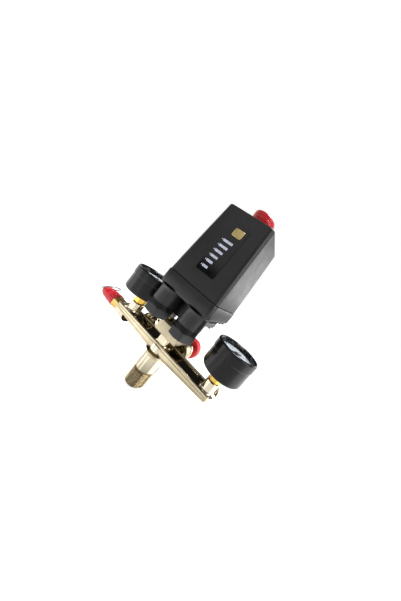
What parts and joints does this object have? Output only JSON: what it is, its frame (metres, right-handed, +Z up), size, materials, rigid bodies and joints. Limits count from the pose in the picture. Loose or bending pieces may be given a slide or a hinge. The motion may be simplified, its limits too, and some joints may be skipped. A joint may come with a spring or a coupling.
{
  "type": "air compressor pressure switch",
  "caption": "Air-compressor pressure switch with on/off pull knob on a nickel-plated manifold bar with regulator, dial gauges, ring-pull safety valve and threaded tank stud.",
  "frame": {"origin": "centre of the lower end face of the threaded tank stud", "axes": "+Z up along the stud and switch axis to the knob; +X along the manifold bar to the right gauge; +Y to the rear, where the regulator and outlets point"},
  "size_m": [0.1951, 0.077, 0.2146],
  "materials": {
    "abs_black": "fine-grained near-black moulded ABS",
    "nylon_black": "black moulded nylon, slightly satin",
    "label_gloss": "glossy black label",
    "rubber_black": "black nitrile rubber",
    "zinc_steel": "zinc-plated steel",
    "spring_steel": "bright spring wire",
    "phenolic_brown": "brown moulded phenolic",
    "copper": "bright copper alloy",
    "brass": "bright machined brass",
    "nickel_cast": "warm nickel-plated casting, sand-cast faces and polished bosses",
    "red_plastic": "glossy red moulded plastic",
    "clear_lens": "clear flat lens",
    "dial_white": "white printed dial",
    "pointer_black": "black painted pointer"
  },
  "bodies": {
    "base": {"adjusting_screw": "zinc_steel", "base_housing": "abs_black", "bourdon_tube_left": "copper", "bourdon_tube_right": "copper", "cover": "abs_black", "diaphragm": "rubber_black", "end_plug": "brass", "flange_screw_1": "zinc_steel", "flange_screw_2": "zinc_steel", "flange_screw_3": "zinc_steel", "flange_screw_4": "zinc_steel", "gauge_case_left": "nylon_black", "gauge_case_right": "nylon_black", "gauge_dial_left": "dial_white", "gauge_dial_right": "dial_white", "gauge_lens_left": "clear_lens", "gauge_lens_right": "clear_lens", "gauge_socket_left": "brass", "gauge_socket_right": "brass", "gland_nut_left": "nylon_black", "gland_nut_right": "nylon_black", "gland_seal_left": "rubber_black", "gland_seal_right": "rubber_black", "hub": "nickel_cast", "label_plate": "label_gloss", "lever_post": "phenolic_brown", "main_spring": "spring_steel", "manifold_body": "nickel_cast", "mechanism_frame": "zinc_steel", "poppet_spring": "spring_steel", "regulator_bonnet": "nickel_cast", "regulator_diaphragm": "rubber_black", "regulator_spring": "spring_steel", "relief_body": "brass", "relief_cap": "red_plastic", "relief_spring": "spring_steel", "spring_plate": "zinc_steel", "terminal_block": "phenolic_brown", "terminal_screw_1": "brass", "terminal_screw_2": "brass", "terminal_screw_3": "brass", "terminal_screw_4": "brass", "unloader_body": "brass", "valve_seat": "brass"},
    "knob": {"on_off_knob": "red_plastic", "knob_shaft": "phenolic_brown"},
    "off_lever": {"off_lever": "zinc_steel"},
    "unloader_pin": {"unloader_pin": "brass"},
    "pressure_lever": {"main_lever": "zinc_steel"},
    "contact_bridge": {"contact_bridge": "copper"},
    "piston": {"piston": "phenolic_brown"},
    "regulator_handle": {"regulator_knob": "red_plastic", "regulator_screw": "zinc_steel"},
    "spring_button": {"spring_button": "zinc_steel"},
    "valve_poppet": {"valve_poppet": "brass"},
    "relief_stem": {"relief_stem": "brass"},
    "pull_ring": {"pull_ring": "zinc_steel"},
    "pointer_left": {"gauge_pointer_left": "pointer_black"},
    "pointer_right": {"gauge_pointer_right": "pointer_black"}
  },
  "joints": [
    {"name": "knob_slide", "type": "slide", "parent": "base", "child": "knob", "axis": [0, 0, 1], "range_m": [-0.005, 0]},
    {"name": "off_lever_tilt", "type": "hinge", "parent": "base", "child": "off_lever", "pos_m": [-0.0227, -0.001, 0.12275], "axis": [0, 1, 0], "range_deg": [0, 13]},
    {"name": "unloader_pin_slide", "type": "slide", "parent": "base", "child": "unloader_pin", "axis": [0, 0, 1], "range_m": [-0.0024, 0]},
    {"name": "pressure_lever_tilt", "type": "hinge", "parent": "base", "child": "pressure_lever", "pos_m": [0, 0.0247, 0.114], "axis": [1, 0, 0], "range_deg": [-4, 0], "deforming": ["main_spring"]},
    {"name": "contact_lift", "type": "slide", "parent": "base", "child": "contact_bridge", "axis": [0, 0, 1], "range_m": [0, 0.0024]},
    {"name": "piston_slide", "type": "slide", "parent": "base", "child": "piston", "axis": [0, 0, 1], "range_m": [0, 0.0013]},
    {"name": "regulator_turn", "type": "hinge", "parent": "base", "child": "regulator_handle", "pos_m": [0.0095, 0.04, 0.0485], "axis": [0, 1, 0], "range_deg": [-1080, 0], "deforming": ["regulator_spring"]},
    {"name": "spring_button_slide", "type": "slide", "parent": "base", "child": "spring_button", "axis": [0, 1, 0], "range_m": [-0.0031, 0]},
    {"name": "poppet_slide", "type": "slide", "parent": "base", "child": "valve_poppet", "axis": [0, 1, 0], "range_m": [-0.001, 0], "stiffness_N_per_m": 200, "deforming": ["poppet_spring"]},
    {"name": "relief_pull", "type": "slide", "parent": "base", "child": "relief_stem", "axis": [1, 0, 0], "range_m": [-0.002, 0], "stiffness_N_per_m": 600, "deforming": ["relief_spring"]},
    {"name": "ring_swing", "type": "hinge", "parent": "relief_stem", "child": "pull_ring", "pos_m": [-0.1072, 0, 0.0435], "axis": [0, 1, 0], "range_deg": [-280, 0]},
    {"name": "pointer_left_turn", "type": "hinge", "parent": "base", "child": "pointer_left", "pos_m": [-0.057, 0, 0.0948], "axis": [0, 0, 1], "range_deg": [-270, 0]},
    {"name": "pointer_right_turn", "type": "hinge", "parent": "base", "child": "pointer_right", "pos_m": [0.063, 0, 0.0948], "axis": [0, 0, 1], "range_deg": [-270, 0]}
  ],
  "couplings": [
    {"joint": "off_lever_tilt", "follows": "knob_slide", "rad_per_m": -44.06},
    {"joint": "unloader_pin_slide", "follows": "knob_slide", "ratio": 0.45},
    {"joint": "contact_lift", "follows": "pressure_lever_tilt", "m_per_rad": -0.0323},
    {"joint": "piston_slide", "follows": "pressure_lever_tilt", "m_per_rad": -0.0167},
    {"joint": "spring_button_slide", "follows": "regulator_turn", "m_per_rad": 0.00015915}
  ]
}
